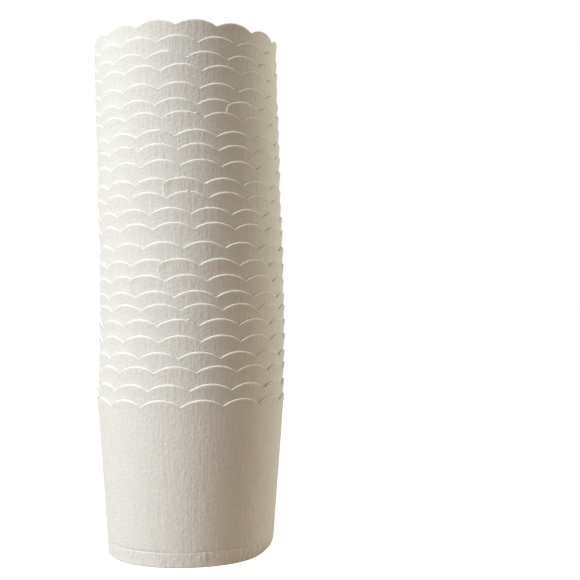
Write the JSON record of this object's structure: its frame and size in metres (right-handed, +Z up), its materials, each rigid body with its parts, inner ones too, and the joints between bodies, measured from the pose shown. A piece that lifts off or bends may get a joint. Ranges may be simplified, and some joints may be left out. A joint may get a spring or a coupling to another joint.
{
  "type": "stack of paper baking cups",
  "caption": "Nested stack of white paper baking cups with scalloped rims, each a rolled wall with a lapped side seam and a base disc set up inside its foot.",
  "frame": {"origin": "middle of the bottom cup's foot, on the surface that the stack stands on", "axes": "+Z up the stack, -Y towards the side that the picture shows"},
  "size_m": [0.06, 0.0602, 0.1652],
  "materials": {
    "paper": "matt"
  },
  "bodies": {
    "root": {"liner_01_wall": "paper", "liner_01_base": "paper", "liner_02_wall": "paper", "liner_02_base": "paper", "liner_03_wall": "paper", "liner_03_base": "paper", "liner_04_wall": "paper", "liner_04_base": "paper", "liner_05_wall": "paper", "liner_05_base": "paper", "liner_06_wall": "paper", "liner_06_base": "paper", "liner_07_wall": "paper", "liner_07_base": "paper", "liner_08_wall": "paper", "liner_08_base": "paper", "liner_09_wall": "paper", "liner_09_base": "paper", "liner_10_wall": "paper", "liner_10_base": "paper", "liner_11_wall": "paper", "liner_11_base": "paper", "liner_12_wall": "paper", "liner_12_base": "paper", "liner_13_wall": "paper", "liner_13_base": "paper", "liner_14_wall": "paper", "liner_14_base": "paper", "liner_15_wall": "paper", "liner_15_base": "paper", "liner_16_wall": "paper", "liner_16_base": "paper", "liner_17_wall": "paper", "liner_17_base": "paper", "liner_18_wall": "paper", "liner_18_base": "paper", "liner_19_wall": "paper", "liner_19_base": "paper", "liner_20_wall": "paper", "liner_20_base": "paper", "liner_21_wall": "paper", "liner_21_base": "paper", "liner_22_wall": "paper", "liner_22_base": "paper", "liner_23_wall": "paper", "liner_23_base": "paper", "liner_24_wall": "paper", "liner_24_base": "paper", "liner_25_wall": "paper", "liner_25_base": "paper"}
  },
  "joints": []
}
